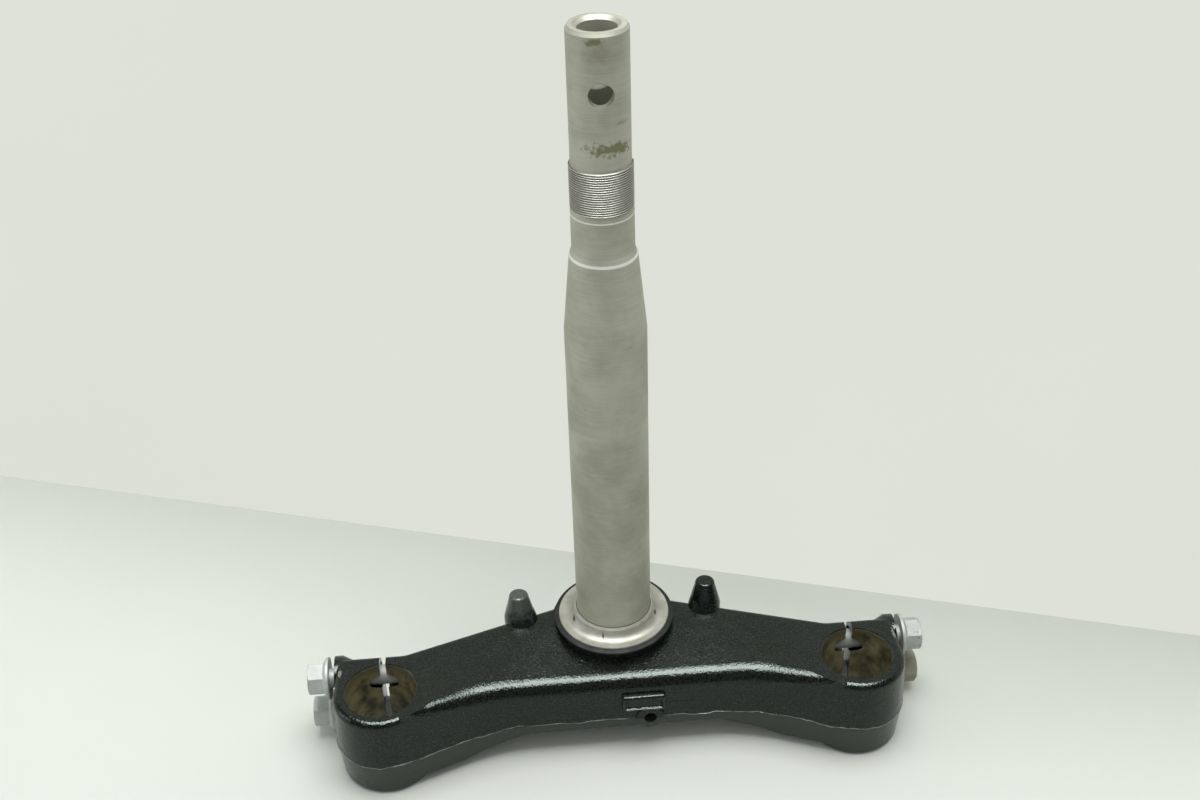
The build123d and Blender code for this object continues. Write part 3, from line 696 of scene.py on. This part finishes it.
for node in BOLT_NODES:
    bolt = bmesh.new()
    bolt.from_mesh(nodes[node].data)
    bmesh.ops.remove_doubles(bolt, verts=bolt.verts, dist=MERGE)
    bmesh.ops.dissolve_limit(bolt, angle_limit=FLAT_ANGLE, verts=bolt.verts, edges=bolt.edges)
    corners = [edge for edge in bolt.edges if edge.is_manifold and edge.calc_face_angle() > EDGE_ANGLE]
    bmesh.ops.bevel(bolt, geom=corners, offset=BOLT_EDGE, offset_type="OFFSET", affect="EDGES", segments=2,
                    profile=0.5, material=-1, clamp_overlap=True)
    piece = finished(node + "_plated", bolt, zinc_plate)
    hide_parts(node)
    print(piece.name, len(piece.data.polygons), "faces")

# %% [markdown]
# ## Thread on the stem
# The head nut runs on a fine thread of about 1 mm pitch. In CAD its place is a plain turned core, because
# a helix is slow to cut. Here four points, the section of one ridge, are spun about the axis while they
# climb, which is how a screw is drawn.

# %% Cut steel of the thread, with painted shade in the groove
CREST = (0.38, 0.38, 0.33, 1)
CREST_DULL = (0.29, 0.29, 0.25, 1)
UNSHADED_R = 12.94 * MM
GROOVE_SHADE_R = 12.74 * MM

cut_thread, tree, shader, place = new_material("cut_thread")
# The thread darkens from crest to root: painted shade in the groove.
groove_shade = fade(tree, from_axis(tree, place), UNSHADED_R, GROOVE_SHADE_R)
crest = blend(tree, cloudy(tree, place, scale=220.0), CREST, CREST_DULL)
fill(tree, shader, {"Base Color": blend(tree, groove_shade, crest, THREAD_GROOVE_SHADE), "Metallic": 0.4,
                    "Roughness": cloudy(tree, place, scale=300.0, low=0.40, high=0.50)})
print("thread finish ready")

# %% Stem thread
THREAD_PITCH = 1.0 * MM
THREAD_FOOT = 265.9 * MM
THREAD_TURNS = 19
STEPS_PER_TURN = 60
THREAD_ROOT_R = 12.6 * MM
THREAD_CREST_R = 13.0 * MM
ROOT_HALF = 0.46 * THREAD_PITCH
CREST_HALF = 0.10 * THREAD_PITCH

ridge = bmesh.new()
section = [(THREAD_ROOT_R, -ROOT_HALF), (THREAD_CREST_R, -CREST_HALF), (THREAD_CREST_R, CREST_HALF),
           (THREAD_ROOT_R, ROOT_HALF)]
corners = [ridge.verts.new((radius, 0, THREAD_FOOT + rise)) for radius, rise in section]
sides = [ridge.edges.new((corners[i - 1], corners[i])) for i in range(len(corners))]
bmesh.ops.spin(ridge, geom=corners + sides, cent=(0, 0, 0), axis=Z_AXIS,
               dvec=Z_AXIS * (THREAD_PITCH / STEPS_PER_TURN), angle=2 * math.pi * THREAD_TURNS,
               steps=THREAD_TURNS * STEPS_PER_TURN)
bmesh.ops.holes_fill(ridge, edges=ridge.edges, sides=len(corners))
bmesh.ops.recalc_face_normals(ridge, faces=ridge.faces)
thread = finished("stem_thread", ridge, cut_thread)
print(thread.name, len(thread.data.polygons), "faces")

# %% [markdown]
# ## Flash line
# Where the two forging dies met, a thin wavy ridge of metal was squeezed out and only roughly ground
# off, and it shows through the paint as a pale line, partly worn paint and partly a painted highlight. A
# ridge could be swept along a curve, but the yoke itself already has the right outline. So a thin band is
# cut from a copy of it at the parting height, the middle of the band is pushed out, and its two edges
# are sunk into the wall.

# %% Worn paint with a painted highlight
# Pale colour of the ridge: partly worn paint, partly a painted highlight.
WORN_AND_HIGHLIT = (0.230, 0.244, 0.224, 1)
WORN_DARK = (0.060, 0.065, 0.060, 1)
WORN_DEPTH = 0.03

worn_and_highlit_paint, tree, shader, place = new_material("worn_and_highlit_paint")
skin = use(tree, pebbled_skin, Vector=place, Scale=1500.0, Coarse=0.5)["Height"]
fill(tree, shader, {"Base Color": blend(tree, cloudy(tree, place, scale=160.0), WORN_AND_HIGHLIT, WORN_DARK),
                    "Roughness": cloudy(tree, place, scale=300.0, low=0.2, high=0.4),
                    "Normal": raised(tree, skin, WORN_DEPTH)})
print("worn paint ready")

# %% Band cut from the forging's wall
FLASH_HALF = 0.5 * MM
FLASH_STEP = 1.0 * MM
GUIDE_X = mounts["hose_guide_hole"]["pos_m"][0]
GUIDE_ROOM = 7.4 * MM
EAR_ROOM = 19.0 * MM
BORE_ROOM = 3.0 * MM
HUB_ROOM = 25.0 * MM


def on_forged_wall(face):
    """True for a face on the outer wall, clear of the bores, the hub, the ears and the guide boss."""
    x, y = face.calc_center_median().xy
    in_bore = math.hypot(abs(x) - FORK_X, y - FORK_Y) < BORE_R + BORE_ROOM
    in_ear = abs(x) > FORK_X - EAR_ROOM and y > FORK_Y
    in_guide = abs(x - GUIDE_X) < GUIDE_ROOM and y < FORK_Y
    return not (in_bore or in_ear or in_guide or math.hypot(x, y) < HUB_ROOM)


slice_across(flash, Z_AXIS, PARTING + FLASH_HALF, clear_outer=True)
slice_across(flash, Z_AXIS, PARTING - FLASH_HALF, clear_inner=True)
slice_across(flash, Z_AXIS, PARTING)
bmesh.ops.delete(flash, geom=[face for face in flash.faces if not on_forged_wall(face)], context="FACES")
half_width = max(abs(vert.co.x) for vert in flash.verts)
for step in range(int(2 * half_width / FLASH_STEP)):
    slice_across(flash, X_AXIS, step * FLASH_STEP - half_width)
flash.normal_update()
print("band of", len(flash.faces), "faces")

# %% Push the ridge out and close it
FLASH_PROUD = 0.55 * MM
FLASH_SINK = 0.15 * MM
FLASH_BACK = 0.4 * MM
FLASH_WAVE = 1.3 * MM
WAVES_PER_METRE = 70.0
FLASH_JAG = 0.6 * MM
JAGS_PER_METRE = 260.0

front_limit, rear_limit = cad_box[0].y, cad_box[1].y
for vert in flash.verts:
    swell = 0.5 + 0.5 * noise.noise(vert.co * WAVES_PER_METRE)
    on_crest = abs(vert.co.z - PARTING) < MERGE
    vert.co += vert.normal * (FLASH_PROUD * swell if on_crest else -FLASH_SINK)
    ground_plan = vert.co.xy.to_3d()
    vert.co.z += FLASH_WAVE * noise.noise(ground_plan * WAVES_PER_METRE)
    vert.co.z += FLASH_JAG * noise.noise(ground_plan * JAGS_PER_METRE)
    vert.co.y = min(max(vert.co.y, front_limit), rear_limit)
bmesh.ops.solidify(flash, geom=flash.faces[:], thickness=FLASH_BACK)
flash_ridge = finished("flash_ridge", flash, worn_and_highlit_paint)
print(flash_ridge.name, len(flash_ridge.data.polygons), "faces",
      [round(side, 4) for side in flash_ridge.dimensions])
